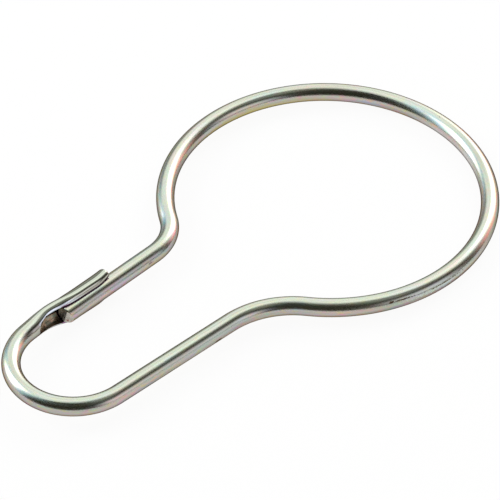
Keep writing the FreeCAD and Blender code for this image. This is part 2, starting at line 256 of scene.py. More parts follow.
def cut_back(line: np.ndarray, amount: float) -> np.ndarray:
    """Shorten a polyline at its last point by a length along it.

    Args:
        line: Points of the polyline, one in each row.
        amount: The length to take off.

    Returns:
        The points that are left, with the new last point.
    """
    lengths = distances(line)
    amount = min(amount, 0.4 * lengths[-1])
    end = lengths[-1] - amount
    kept = line[lengths < end]
    last = np.array([np.interp(end, lengths, column) for column in line.T])
    return np.vstack([kept, last])


def smooth_through(knots: np.ndarray, places: np.ndarray) -> np.ndarray:
    """Interpolate evenly spaced rows with a natural cubic spline.

    Args:
        knots: One row of values for each whole number from 0.
        places: Where to read the spline.

    Returns:
        One row of values for each place.
    """
    count = len(knots)
    system = np.eye(count)
    right = np.zeros_like(knots)
    for i in range(1, count - 1):
        system[i, i - 1:i + 2] = (1.0, 4.0, 1.0)
        right[i] = 6.0 * (knots[i - 1] - 2 * knots[i] + knots[i + 1])
    bend = np.linalg.solve(system, right)
    cell = np.clip(places.astype(int), 0, count - 2)
    t = (places - cell)[:, None]
    s = 1.0 - t
    straight = s * knots[cell] + t * knots[cell + 1]
    return straight + ((s ** 3 - s) * bend[cell] + (t ** 3 - t) * bend[cell + 1]) / 6.0


@dataclass(frozen=True)
class RolledCatch:
    """The catch: the wire flattened, spread to two lips and rolled to a trough.

    The sections are multiples of the wire's radius, evenly spaced along the
    catch, with the same six sizes as CatchSection.  Each shade says where the
    sprung end's shadow on the lips begins to grow, and over what length.
    """

    wire_radius: float
    course: WireCourse
    start: float = -3.7375 * MM
    length: float = 8.22 * MM
    clearance: float = 0.15 * MM
    nose_x: float = -3.13 * MM
    nose_radius: float = 1.12 * MM
    nose_taper: float = 20.0
    tip_round: float = 0.10 * MM
    rim_round: float = 0.09 * MM
    half_rim: float = 0.25 * MM
    outer_steps: int = 30
    rim_steps: int = 8
    inner_steps: int = 14
    plain_stations: int = 130
    nose_stations: int = 14
    tip_stations: int = 9
    least_pitch: float = 0.012
    lips_begin: tuple = (0.3, 0.5)
    lips_away: float = 2.0
    # How far back from the tip the painted highlight of its outer edge is full, and over what length it
    # fades in.
    tip_highlight_begin: tuple = (0.05 * MM, 0.06 * MM)
    shade_start: tuple = (-0.35 * MM, 0.4 * MM)
    shade_full: tuple = (0.8 * MM, 3.0 * MM)
    sections: tuple = (
        (2.032, 1.072, 0.192, 0.928, 0.440, 0.096),
        (1.920, 1.104, 0.736, 0.660, 0.920, 0.320),
        (1.872, 0.888, 0.864, 0.688, 1.024, 0.120),
        (1.824, 0.510, 1.170, 0.590, 1.072, -0.120),
        (1.800, 0.376, 1.224, 0.560, 1.088, -0.200),
        (1.800, 0.336, 1.232, 0.560, 1.088, -0.240),
        (1.800, 0.336, 1.232, 0.560, 1.088, -0.240),
        (1.800, 0.576, 1.224, 0.560, 1.088, 0.010),
    )

    @property
    def around(self) -> int:
        """Return how many points one ring of the hook has."""
        return 2 * (self.outer_steps + self.rim_steps + self.inner_steps)

    def hollow_half(self, x: float) -> float:
        """Return half the width of the hollow at a distance along the leg.

        Args:
            x: Distance along the leg from the free end face.

        Returns:
            Half the width, 0 before the hollow starts.
        """
        taper = math.radians(self.nose_taper)
        full = self.wire_radius + self.clearance
        cheek = self.nose_x - self.nose_radius * math.sin(taper)
        if x <= self.nose_x - self.nose_radius:
            return 0.0
        if x < cheek:
            return math.sqrt(self.nose_radius ** 2 - (x - self.nose_x) ** 2)
        return min(full, self.nose_radius / math.cos(taper) + (x - self.nose_x) * math.tan(taper))

    def half_ring(self, section: CatchSection, x: float) -> np.ndarray:
        """Return the upper half of the rolled outline at one place.

        Args:
            section: The blank section at this place.
            x: Distance along the leg from the free end face.

        Returns:
            Points from the back over the lip and into the hollow, across and up.
        """
        outline = section.half_outline()
        half = self.hollow_half(x)
        across, up = outline.T
        clear = up - half
        if half > 0.0:
            clear = np.where(across < 0.0, clear, np.hypot(across, up) - half)
        if half <= 0.0 or np.nonzero(clear > 0.0)[0][-1] >= len(outline) - 2:
            half = 0.0
            clear = up - self.half_rim
            clear[:len(up) // 2] = 1.0
        last = int(np.nonzero(clear > 0.0)[0][-1])
        share = clear[last] / (clear[last] - clear[last + 1])
        edge = outline[last] + share * (outline[last + 1] - outline[last])
        outer = np.vstack([outline[:last + 1], edge])
        if half <= 0.0:
            inner = np.vstack([edge, outline[last + 1:]])
        else:
            first = math.pi / 2 if edge[0] < 0.0 else math.atan2(edge[1], edge[0])
            angles = np.linspace(first, 0.0, 40)
            inner = half * np.column_stack([np.cos(angles), np.sin(angles)])
            if edge[0] < 0.0:
                inner = np.vstack([edge, inner])
        corner = inner[0]
        outer = cut_back(outer, self.rim_round)
        inner = cut_back(inner[::-1], self.rim_round)[::-1]
        t = np.linspace(0.0, 1.0, self.rim_steps + 1)[:, None]
        rim = (1 - t) ** 2 * outer[-1] + 2 * t * (1 - t) * corner + t ** 2 * inner[0]
        outer = spread(outer, self.outer_steps)
        inner = spread(inner, self.inner_steps)
        return np.vstack([outer, rim[1:], inner[1:]])

    def full_ring(self, half: np.ndarray) -> np.ndarray:
        """Mirror a half outline in the plane of the wire."""
        lower = half[-2:0:-1] * np.array([1.0, -1.0])
        return np.vstack([half, lower])

    def trim_tip(self, ring: np.ndarray, x: float) -> np.ndarray:
        """Pull a ring in where the outer edge of the open tip is rounded.

        Args:
            ring: Points of the ring, across and up.
            x: Distance along the leg from the free end face.

        Returns:
            The points of the ring, pulled in near the tip.
        """
        over = x - (self.length - self.tip_round)
        if over <= 0.0:
            return ring
        fall = self.tip_round - math.sqrt(max(self.tip_round ** 2 - over ** 2, 0.0))
        limit = self.wire_radius * self.sections[-1][0] - fall
        reach = np.linalg.norm(ring, axis=1)
        scale = np.minimum(1.0, limit / np.maximum(reach, 1e-9))
        return ring * scale[:, None]

    def root_row(self) -> tuple[np.ndarray, float]:
        """Write the round wire at the root as a section row.

        Returns:
            The row of six sizes, and its distance along the leg.
        """
        along, outward = self.course.leg_axes()
        away = self.course.root() - self.course.free_end()
        radius = self.wire_radius
        across = float(away @ outward)
        row = np.array([across + radius, across, 0.0, radius, 0.5 * radius, across - radius])
        return row, float(away @ along)

    def stations(self) -> np.ndarray:
        """Choose where the rings lie, closer at the nose and at the tip.

        Returns:
            The places, as section numbers from the root.
        """
        _, root_x = self.root_row()
        plain = np.linspace(0.0, len(self.sections), self.plain_stations)
        taper = math.radians(90.0 - self.nose_taper)
        nose = self.nose_x - self.nose_radius * np.cos(np.linspace(0.03, taper, self.nose_stations))
        quarter = np.linspace(0.0, math.pi / 2, self.tip_stations)
        tip = self.length - self.tip_round * (1 - np.sin(quarter))
        pitch = (self.length - self.start) / (len(self.sections) - 1)
        extra = np.r_[nose, tip]
        numbers = np.where(
            extra < self.start,
            (extra - root_x) / (self.start - root_x),
            1.0 + (extra - self.start) / pitch,
        )
        everything = np.unique(np.round(np.r_[plain, numbers], 5))
        keep = np.r_[True, np.diff(everything) > self.least_pitch]
        keep[-1] = True
        return everything[keep]

    def strip(self, root_straight: np.ndarray) -> "Strip":
        """Build the rings of the catch.

        Args:
            root_straight: Straight coordinates of the ring at the root.

        Returns:
            The rings, from the root to the open tip.
        """
        root_row, root_x = self.root_row()
        pitch = (self.length - self.start) / (len(self.sections) - 1)
        rows = np.vstack([root_row, self.wire_radius * np.array(self.sections)])
        numbers = self.stations()
        lean = self.course.root_turn() - math.radians(self.course.leg_angle)
        along, outward = self.course.leg_axes()
        points, places, rings = [], [], []
        for number, row in zip(numbers, smooth_through(rows, numbers)):
            x = self.start + (number - 1.0) * pitch
            if number < 1.0:
                x = root_x + number * (self.start - root_x)
            ring = self.trim_tip(self.full_ring(self.half_ring(CatchSection(*row), x)), x)
            rings.append(ring)
            tilt = math.tan(lean * max(0.0, 1.0 - number) ** 2)
            forward = x - tilt * (ring[:, 0] - root_row[1])
            flat = self.course.free_end() + np.outer(forward, along) + np.outer(ring[:, 0], outward)
            points.append(np.column_stack([flat, ring[:, 1]]))
            places.append(x - root_x)
        straight = np.empty((len(points), self.around, 3))
        straight[:, :, 0] = root_straight[0, 0] + np.array(places)[:, None]
        straight[:, :, 1:] = np.array(rings) - np.array([root_row[1], 0.0])
        wear_and_painted_light = self.wear_and_painted_light(numbers, np.array(places) + root_x, np.array(rings))
        return Strip(np.array(points), straight, *wear_and_painted_light)

    def wear_and_painted_light(self, numbers: np.ndarray, x: np.ndarray, rings: np.ndarray) -> tuple:
        """Return what the finish needs to know about the points of the rings.

        Args:
            numbers: The rings' places as section numbers from the root.
            x: Their distances along the leg from the free end face.
            rings: Their points, across and up.

        Returns:
            Polish, 1 on the whole catch and 2 at its tip, where the tip's outer
            edge gets a painted highlight; the distance from the inner edge of the lips,
            in millimetres into the hollow; and where the sprung end's painted shadow
            falls on the lips, 1 where it starts and 2 near the tip.
        """
        half = self.around // 2
        corner = self.outer_steps + self.rim_steps // 2
        steps = np.linalg.norm(np.diff(rings[:, :half + 1], axis=1), axis=2)
        lengths = np.concatenate([np.zeros((len(rings), 1)), np.cumsum(steps, axis=1)], axis=1)
        edge = (lengths - lengths[:, corner:corner + 1]) / MM
        edge = np.concatenate([edge, edge[:, half - 1:0:-1]], axis=1)
        begin, reach = self.lips_begin
        away = np.clip(1.0 - (numbers - begin) / reach, 0.0, 1.0)[:, None]
        # Painted shadow of the sprung end on the lips, 1 where it starts and 2 near the tip.
        shaded = np.zeros((len(rings), 1))
        for begin, reach in (self.shade_start, self.shade_full):
            shaded = shaded + np.clip((x - begin) / reach, 0.0, 1.0)[:, None]
        # Painted highlight: the rings at the tip are marked 2 for a bright outer edge.
        begin, reach = self.tip_highlight_begin
        tip = np.clip(1.0 + (x - self.length + begin) / reach, 0.0, 1.0)[:, None]
        flat = np.ones_like(edge)
        return (1.0 + tip) * flat, edge - away * self.lips_away, shaded * flat

    def root_angles(self) -> np.ndarray:
        """Find where the points of the first ring lie round the wire.

        Returns:
            The angles in radians, from 0 at the back.
        """
        row, root_x = self.root_row()
        ring = self.full_ring(self.half_ring(CatchSection(*row), root_x))
        angles = np.arctan2(ring[:, 1], ring[:, 0] - row[1])
        angles[self.around // 2] = math.pi
        return np.where(angles < -1e-9, angles + 2 * math.pi, angles)


# The wire and the whole hook


@dataclass(frozen=True)
class Strip:
    """Rings of points along a stretch of the hook, with what each point knows.

    straight is where a point lay on the straight wire before it was bent,
    the polish mark tells how far the rolls polished it and is 2 at the tip,
    where the tip's outer edge gets a painted highlight, edge is how far it lies
    beyond the inner edge of the lips, in millimetres, and shaded, the sprung end's
    painted shadow, is 1 where the sprung end starts to lie in the catch and 2 near
    the tip.
    """

    points: np.ndarray
    straight: np.ndarray
    polish_and_tip_highlight: np.ndarray
    edge: np.ndarray
    shaded: np.ndarray

    def joined(self, other: "Strip", skip: int = 0) -> "Strip":
        """Return this strip followed by another without its first rings."""
        names = (entry.name for entry in fields(self))
        return Strip(*(np.concatenate([getattr(self, n), getattr(other, n)[skip:]]) for n in names))


@dataclass(frozen=True)
class DrawnWire:
    """The round wire, swept along its course, with its sheared end."""

    course: WireCourse
    radius: float = WIRE_RADIUS
    end_round: float = 0.20 * MM
    blend_length: float = 5.0 * MM
    shear_side: float = 197.0
    shear_start: float = 0.26 * MM
    shear_slope: float = 0.42
    shear_reach: float = 1.1 * MM
    torn_waves: tuple = (9200.0, 3700.0)
    ridge_width: float = 0.12 * MM
    ridge_height: float = 0.05 * MM
    face_rings: int = 9
    face_core: float = 0.08
    polish_reach: float = 1.5 * MM
    far_from_lips: float = -4.0

    def sheared(self, across: np.ndarray, up: np.ndarray) -> np.ndarray:
        """Return how far the cut lies behind the end face at points of the section.

        Args:
            across: Where the points lie across the wire.
            up: Where they lie along Z.

        Returns:
            The depths of the cut, in metres.
        """
        side = math.radians(self.shear_side)
        beyond = across * math.cos(side) + up * math.sin(side) - self.shear_start
        along = -across * math.sin(side) + up * math.cos(side)
        short, long = self.torn_waves
        torn = 0.5 + 0.5 * np.sin(along * short) * np.sin(along * long + 1.0)
        ridge = np.exp(-(beyond / self.ridge_width) ** 2) * self.ridge_height * torn
        return self.shear_slope * np.maximum(beyond, 0.0) - ridge

    def places(self, line: np.ndarray) -> tuple[np.ndarray, np.ndarray]:
        """Return the distances of the course's points and of the rings.

        Args:
            line: Points of the centre line.

        Returns:
            The distances of its points, and those of the rings.
        """
        along = distances(line)
        ends = self.end_round * (1 - np.cos(np.linspace(0.0, math.pi / 2, 6)))
        return along, np.unique(np.r_[ends, along[along > self.end_round * 1.5]])

    def strip(self, root_angles: np.ndarray) -> Strip:
        """Sweep the wire from its end face to the catch's root.

        Args:
            root_angles: Angles of the ring's points where the catch begins.

        Returns:
            The rings, from the middle of the end face to the root.
        """
        line = self.course.centre_line()
        along, stops = self.places(line)
        centres = np.column_stack([np.interp(stops, along, column) for column in line.T])
        run = np.gradient(centres, stops, axis=0)
        turn = self.course.root_turn()
        run[0] = self.course.leg_axes()[0]
        run[-1] = (math.cos(turn), math.sin(turn))
        run /= np.linalg.norm(run, axis=1)[:, None]
        even = np.linspace(0.0, 2 * math.pi, len(root_angles), endpoint=False)
        short = np.maximum(0.0, self.end_round - stops)
        radii = self.radius - self.end_round + np.sqrt(self.end_round ** 2 - short ** 2)
        shares = np.linspace(self.face_core, 1.0, self.face_rings, endpoint=False) * (radii[0] / self.radius)
        stops = np.r_[np.zeros(self.face_rings), stops]
        centres = np.vstack([np.repeat(centres[:1], self.face_rings, axis=0), centres])
        run = np.vstack([np.repeat(run[:1], self.face_rings, axis=0), run])
        radii = np.r_[shares * self.radius, radii]
        near = np.maximum(0.0, 1.0 - (stops[-1] - stops) / self.blend_length)[:, None]
        angles = (1.0 - near) * even + near * root_angles
        across = radii[:, None] * np.cos(angles)
        up = radii[:, None] * np.sin(angles)
        fade = np.maximum(0.0, 1.0 - stops / self.shear_reach)[:, None]
        behind = self.sheared(across, up) * fade
        x = centres[:, :1] + behind * run[:, :1] - across * run[:, 1:]
        y = centres[:, 1:] + behind * run[:, 1:] + across * run[:, :1]
        places = np.repeat(stops[:, None], len(even), axis=1)
        polished = np.maximum(0.0, 1.0 - (stops[-1] - stops) / self.polish_reach)[:, None]
        return Strip(
            np.stack([x, y, up], axis=-1),
            np.stack([places, across, up], axis=-1),
            np.repeat(polished, len(even), axis=1),
            np.full_like(places, self.far_from_lips),
            np.zeros_like(places),
        )


def new_object(name: str, data: bpy.types.ID) -> bpy.types.Object:
    """Put an object with its mesh, lamp or camera in the scene.

    Args:
        name: Name of the object.
        data: Its mesh, lamp or camera.

    Returns:
        The new object.
    """
    made = bpy.data.objects.new(name, data)
    bpy.context.scene.collection.objects.link(made)
    return made


@dataclass
class CurtainHook:
    """The whole hook as one piece that stands for its CAD node."""

    course: WireCourse = field(default_factory=WireCourse)
    name: str = "curtain_hook_wire"

    def __post_init__(self) -> None:
        """Make the two stretches of the wire from one course."""
        self.wire = DrawnWire(self.course)
        self.catch = RolledCatch(self.wire.radius, self.course)

    def build(self) -> bpy.types.Object:
        """Build the mesh and let it ride on the hook's body.

        Returns:
            The new piece, without its materials.
        """
        wire = self.wire.strip(self.catch.root_angles())
        whole = wire.joined(self.catch.strip(wire.straight[-1]), skip=1)
        mesh = self.skin(whole.points)
        self.mark(mesh, whole)
        piece = new_object(self.name, mesh)
        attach(piece, "root")
        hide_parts(NODE)
        LOG.info("%s: %d rings, %d faces", self.name, len(whole.points), len(mesh.polygons))
        return piece

    def skin(self, rings: np.ndarray) -> bpy.types.Mesh:
        """Join the rings to a closed mesh with a flat face at each end.

        Args:
            rings: The points of each ring.

        Returns:
            The mesh, with the sheared faces in a slot of their own.
        """
        count, around = rings.shape[:2]
        index = np.arange(count * around).reshape(count, around)
        ahead = np.roll(index, -1, axis=1)
        quads = np.stack([index[:-1], index[1:], ahead[1:], ahead[:-1]], axis=-1).reshape(-1, 4)
        faces = [*quads.tolist(), index[0].tolist(), index[-1][::-1].tolist()]
        mesh = bpy.data.meshes.new(self.name)
        mesh.from_pydata(rings.reshape(-1, 3).tolist(), [], faces)
        mesh.update()
        sheared = np.zeros(len(faces), dtype=bool)
        sheared[:(self.wire.face_rings + 1) * around] = True
        sheared[-2] = True
        smooth = np.ones(len(faces), dtype=bool)
        smooth[-1] = False
        slots = np.where(sheared, Surface.SHEARED.value, Surface.PLATED.value)
        mesh.polygons.foreach_set("use_smooth", smooth)
        mesh.polygons.foreach_set("material_index", slots.astype(np.int32))
        mesh.validate()
        return mesh

    def mark(self, mesh: bpy.types.Mesh, strip: Strip) -> None:
        """Store on the mesh what each of its points knows.

        Args:
            mesh: The mesh of the hook.
            strip: Its rings, with what each point knows.
        """
        values = (strip.straight, strip.polish_and_tip_highlight, strip.edge, strip.shaded)
        for name, value in zip(POINT_MARKS, values):
            kind, key = ("FLOAT_VECTOR", "vector") if value.ndim == 3 else ("FLOAT", "value")
            layer = mesh.attributes.new(name, kind, "POINT")
            layer.data.foreach_set(key, value.reshape(-1).astype(np.float32))


# Nodes


class Wiring:
    """Short calls to add and join nodes in one tree."""

    def __init__(self, tree: bpy.types.NodeTree) -> None:
        """Hold the tree that the calls work on."""
        self.tree = tree

    def node(self, kind: str, **settings: object) -> bpy.types.Node:
        """Add a node of a kind and set its properties.

        Args:
            kind: Kind of the node, without the word before it.
            settings: Its properties by name.

        Returns:
            The new node.
        """
        made = self.tree.nodes.new("ShaderNode" + kind)
        for key, value in settings.items():
            setattr(made, key, value)
        return made

    def join(self, source: Value, target: Socket) -> None:
        """Join an output socket to an input socket, or set a plain value.

        Args:
            source: A socket that puts out, or a plain value.
            target: The socket that takes it.
        """
        if isinstance(source, Socket):
            self.tree.links.new(source, target)
        else:
            target.default_value = source

    def fed(self, made: bpy.types.Node, *sources: Value) -> Socket:
        """Join sources to a node's inputs in their order.

        Args:
            made: The node.
            sources: Sockets or plain values.

        Returns:
            The first output of the node.
        """
        for source, target in zip(sources, made.inputs):
            self.join(source, target)
        return made.outputs[0]

    def math(self, operation: str, *values: Value, clamp: bool = False) -> Socket:
        """Add a Math node and return its result."""
        return self.fed(self.node("Math", operation=operation, use_clamp=clamp), *values)

    def times(self, first: Value, second: Value, clamp: bool = False) -> Socket:
        """Multiply two values."""
        return self.math("MULTIPLY", first, second, clamp=clamp)

    def plus(self, first: Value, second: Value, clamp: bool = False) -> Socket:
        """Add two values."""
        return self.math("ADD", first, second, clamp=clamp)

    def minus(self, first: Value, second: Value, clamp: bool = False) -> Socket:
        """Take the second value from the first."""
        return self.math("SUBTRACT", first, second, clamp=clamp)

    def larger(self, first: Value, second: Value) -> Socket:
        """Return the larger of two values."""
        return self.math("MAXIMUM", first, second)

    def above(self, value: Value, limit: Value, gain: float) -> Socket:
        """Return a mask that grows from 0 to 1 as a value passes a limit."""
        return self.times(self.minus(value, limit), gain, clamp=True)

    def below(self, value: Value, limit: Value, gain: float) -> Socket:
        """Return a mask that grows from 0 to 1 as a value falls under a limit."""
        return self.above(limit, value, gain)

    def stretch(self, vector: Value, scale: tuple) -> Socket:
        """Multiply a vector by three factors."""
        return self.fed(self.node("VectorMath", operation="MULTIPLY"), vector, scale)

    def noise(self, vector: Value, scale: float, detail: float, rough: float, draw: float = 1.0) -> Sockets:
        """Add a noise texture.

        Args:
            vector: The coordinates of the straight wire.
            scale: How fine the spots are, for each metre.
            detail: How many finer layers of spots are added.
            rough: How strong the finer layers are.
            draw: Scale along the wire, where less than 1 draws the spots out.

        Returns:
            The outputs of the texture.
        """
        made = self.node("TexNoise")
        self.join(self.stretch(vector, (draw, 1.0, 1.0)), made.inputs["Vector"])
        for name, value in (("Scale", scale), ("Detail", detail), ("Roughness", rough)):
            made.inputs[name].default_value = value
        return made.outputs

    def ramp(self, factor: Value, stops: tuple) -> Socket:
        """Add a colour ramp with the given stops and return its colour.

        Args:
            factor: The value that is read off the ramp.
            stops: Places from 0 to 1 with their colours.

        Returns:
            The colour at the value.
        """
        made = self.node("ValToRGB")
        elements = made.color_ramp.elements
        while len(elements) < len(stops):
            elements.new(0.5)
        for element, (place, colour) in zip(elements, stops):
            element.position = place
            element.color = (*colour, 1.0)
        self.join(factor, made.inputs["Fac"])
        return made.outputs["Color"]

    def mix(self, factor: Value, first: Value, second: Value, blend: str = "MIX") -> Socket:
        """Mix two colours and return the result.

        Args:
            factor: Share of the second colour.
            first: A socket or a plain colour.
            second: A socket or a plain colour.
            blend: How the second colour meets the first.

        Returns:
            The mixed colour.
        """
        made = self.node("Mix", data_type="RGBA", blend_type=blend)
        self.join(factor, made.inputs["Factor"])
        sockets = [s for s in made.inputs if s.type == "RGBA"]
        for value, socket in zip((first, second), sockets):
            self.join((*value, 1.0) if isinstance(value, tuple) else value, socket)
        return next(s for s in made.outputs if s.type == "RGBA")

    def blend(self, share: Value, first: Socket, second: Socket) -> Socket:
        """Mix two shaders and return the result."""
        return self.fed(self.node("MixShader"), share, first, second)

    def glow(self, kind: str, colour: tuple, strength: float = 1.0) -> Socket:
        """Add a shader that shines, an Emission or a Background.

        Args:
            kind: Emission or Background.
            colour: Its colour.
            strength: How bright it is.

        Returns:
            The shader.
        """
        made = self.node(kind)
        made.inputs["Color"].default_value = (*colour, 1.0)
        made.inputs["Strength"].default_value = strength
        return made.outputs[0]

    def effect(self, group: bpy.types.ShaderNodeTree, coord: Socket, **values: Value) -> Sockets:
        """Place a shared effect with its own values and return its outputs.

        Args:
            group: The node group of the effect.
            coord: The coordinates of the straight wire.
            values: Sockets or plain values for its other inputs.

        Returns:
            The outputs of the effect.
        """
        made = self.node("Group", node_tree=group)
        self.join(coord, made.inputs["Coord"])
        for name, value in values.items():
            self.join(value, made.inputs[name])
        return made.outputs

    def bump(self, height: Socket, distance: float, shader: bpy.types.Node) -> None:
        """Let a height raise and sink the surface of a shader.

        Args:
            height: How high the surface stands, from 0 to 1.
            distance: The height of 1, in metres.
            shader: The shader that gets the bumps.
        """
        made = self.node("Bump")
        made.inputs["Distance"].default_value = distance
        self.join(height, made.inputs["Height"])
        self.join(made.outputs["Normal"], shader.inputs["Normal"])


def new_group(name: str, inputs: dict, outputs: dict) -> tuple[Wiring, Sockets, Sockets]:
    """Make an empty shader node group with named sockets.

    Args:
        name: Name of the group.
        inputs: Socket names with their default value, None for a vector.
        outputs: Socket names with their kind, Float or Color.

    Returns:
        The group's wiring, the sockets that enter it and those that leave it.
    """
    tree = bpy.data.node_groups.new(name, "ShaderNodeTree")
    for label, default in inputs.items():
        kind = "NodeSocketVector" if default is None else "NodeSocketFloat"
        socket = tree.interface.new_socket(label, in_out="INPUT", socket_type=kind)
        if default is not None:
            socket.default_value = default
    for label, kind in outputs.items():
        tree.interface.new_socket(label, in_out="OUTPUT", socket_type="NodeSocket" + kind)
    entry = tree.nodes.new("NodeGroupInput")
    leave = tree.nodes.new("NodeGroupOutput")
    return Wiring(tree), entry.outputs, leave.inputs


def new_material(name: str) -> tuple[bpy.types.Material, Wiring, bpy.types.Node]:
    """Make a material and return it with its wiring and its Principled shader.

    Args:
        name: Name of the material.

    Returns:
        The material, its wiring and its shader.
    """
    made = bpy.data.materials.new(name)
    made.use_nodes = True
    return made, Wiring(made.node_tree), made.node_tree.nodes["Principled BSDF"]


# Shared surface effects


def drawn_lines_group() -> bpy.types.ShaderNodeTree:
    """Build the fine lines that the drawing die leaves along the wire.

    Returns:
        A group with Coord in, and Height and Streak out.
    """
    w, entry, leave = new_group("drawn_lines", {"Coord": None}, {"Height": "Float", "Streak": "Float"})
    fine = w.noise(entry["Coord"], 6000.0, 2.0, 0.6, draw=0.035)["Fac"]
    broad = w.noise(entry["Coord"], 2300.0, 2.0, 0.5, draw=0.035)["Fac"]
    w.join(w.plus(w.times(fine, 0.4), w.times(broad, 0.6)), leave["Height"])
    w.join(w.plus(w.times(w.minus(broad, 0.5), 2.0), 0.5, clamp=True), leave["Streak"])
    return w.tree


def passivate_and_reflection_group() -> bpy.types.ShaderNodeTree:
    """Build the drifting tints of the clear passivate on the zinc.

    Under the tints the colour is a painted reflection round the wire: warmer
    and yellower underneath, for the shaded floor that the wire mirrors, and
    greener on top, for the light above.

    Returns:
        A group with Coord, Streak and Amount in, and Color out.
    """
    inputs = {"Coord": None, "Streak": 0.5, "Amount": 1.0}
    w, entry, leave = new_group("passivate_and_painted_reflection", inputs, {"Color": "Color"})
    parts = w.node("SeparateXYZ")
    w.join(entry["Coord"], parts.inputs[0])
    rise = w.plus(w.times(parts.outputs["Z"], 0.5 / WIRE_RADIUS), 0.5)
    # Painted reflection: the colour by height round the wire, warm yellow underneath for the shaded floor it
    # mirrors and greener on top for the light above.
    colour = w.ramp(rise, (
        (0.12, (0.58, 0.48, 0.31)),
        (0.30, (0.50, 0.435, 0.37)),
        (0.42, (0.465, 0.425, 0.41)),
        (0.60, (0.48, 0.46, 0.40)),
        (0.90, (0.485, 0.51, 0.435)),
    ))
    side = w.math("ABSOLUTE", w.minus(w.times(rise, 2.0), 1.0))
    side = w.minus(1.15, w.times(side, 0.75), clamp=True)
    amount = w.times(side, entry["Amount"])
    causes = []
    for scale, detail, rough, draw in ((2300.0, 2.5, 0.6, 0.42), (760.0, 2.0, 0.5, 0.20)):
        split = w.node("SeparateColor")
        w.join(w.noise(entry["Coord"], scale, detail, rough, draw)["Color"], split.inputs[0])
        causes += list(split.outputs)
    tints = (
        (1.18, 0.86, 1.04),
        (0.84, 1.14, 1.00),
        (1.14, 1.06, 0.70),
        (0.88, 1.00, 1.24),
        (1.16, 0.92, 1.00),
    )
    for cause, tint in zip(causes, tints):
        colour = w.mix(w.times(w.above(cause, 0.5, 5.5), amount), colour, tint, "MULTIPLY")
    lines = w.ramp(entry["Streak"], (
        (0.15, (0.84, 0.86, 0.84)),
        (0.50, (1.0, 1.0, 1.0)),
        (0.85, (1.12, 1.06, 1.10)),
    ))
    w.join(w.mix(amount, colour, lines, "MULTIPLY"), leave["Color"])
    return w.tree


def scuff_group() -> bpy.types.ShaderNodeTree:
    """Build a mark at one place of the wire.

    Returns:
        A group with Coord, the mark's place and half lengths in millimetres,
        its angle in radians, how ragged and how strong it is in, and a crisp
        Mask and a Soft one out.
    """
    inputs = {"Coord": None, "Along": 0.0, "Angle": 0.0, "Reach": 1.0, "Width": 0.3, "Ragged": 2.0}
    outputs = {"Mask": "Float", "Soft": "Float"}
    w, entry, leave = new_group("wire_scuff", {**inputs, "Strength": 1.0}, outputs)
    parts = w.node("SeparateXYZ")
    w.join(w.stretch(entry["Coord"], (1.0 / MM,) * 3), parts.inputs[0])
    along = w.math("DIVIDE", w.minus(parts.outputs["X"], entry["Along"]), entry["Reach"])
    angle = w.math("ARCTAN2", parts.outputs["Z"], parts.outputs["Y"])
    off = w.math("WRAP", w.minus(angle, entry["Angle"]), math.pi, -math.pi)
    across = w.math("DIVIDE", w.times(off, WIRE_RADIUS / MM), entry["Width"])
    away = w.math("SQRT", w.plus(w.times(along, along), w.times(across, across)))
    ragged = w.noise(entry["Coord"], 6500.0, 3.0, 0.6, draw=0.7)["Fac"]
    edge = w.plus(away, w.times(w.minus(ragged, 0.5), entry["Ragged"]))
    w.join(w.times(w.below(edge, 1.15, 2.5), entry["Strength"]), leave["Mask"])
    w.join(w.times(w.below(edge, 1.10, 1.2), entry["Strength"]), leave["Soft"])
    return w.tree


def speck_group() -> bpy.types.ShaderNodeTree:
    """Build the sparse pin pricks and grit in the plating.

    Returns:
        A group with Coord in and Mask out.
    """
    w, entry, leave = new_group("plating_specks", {"Coord": None}, {"Mask": "Float"})
    grit = w.noise(entry["Coord"], 9000.0, 1.0, 0.5, draw=0.8)["Fac"]
    patch = w.noise(entry["Coord"], 700.0, 1.0, 0.5)["Fac"]
    level = w.plus(w.times(patch, 0.35), 0.47)
    w.join(w.above(grit, w.minus(1.0, w.times(level, 0.44)), 14.0), leave["Mask"])
    return w.tree


# Finishes


class WireFacts:
    """What the mesh tells the plating about each point, as sockets."""

    # Width of the lip's face, in millimetres, that the sprung end's painted shadow adds to the dark hollow.
    shaded_face = 0.15

    def __init__(self, w: Wiring) -> None:
        """Read the marks of the mesh and find where the sprung end lies and casts its painted shadow.

        Args:
            w: The wiring of the plating's material.
        """
        marks = {name: w.node("Attribute", attribute_name=name).outputs for name in POINT_MARKS}
        self.coord = marks["straight_wire"]["Vector"]
        self.polish_and_tip_highlight = marks["polish_and_tip_highlight"]["Fac"]
        self.edge = marks["edge"]["Fac"]
        # The sprung end's painted shadow, and the deeper painted shade towards the tip; past moves the
        # hollow's edge onto the lip's face where the shadow falls.
        self.shaded = w.times(marks["shaded"]["Fac"], 1.0, clamp=True)
        self.deep_shade = w.minus(marks["shaded"]["Fac"], 1.0, clamp=True)
        self.past = w.plus(self.edge, w.times(self.shaded, self.shaded_face))


@dataclass(frozen=True)
class Mark:
    """A mark on the wire, in millimetres and degrees."""

    along: float
    angle: float
    reach: float
    width: float
    ragged: float = 2.0
    strength: float = 1.0
    colour: tuple = (0.075, 0.045, 0.028)

    def place(self, w: Wiring, group: bpy.types.ShaderNodeTree, coord: Socket) -> Sockets:
        """Add the mark to a material and return its masks.

        Args:
            w: The wiring of the material's nodes.
            group: The node group of the marks.
            coord: The coordinates of the straight wire.

        Returns:
            The crisp and the soft mask of the mark.
        """
        angle = math.radians(self.angle)
        size = {"Reach": self.reach, "Width": self.width, "Ragged": self.ragged}
        return w.effect(group, coord, Along=self.along, Angle=angle, Strength=self.strength, **size)


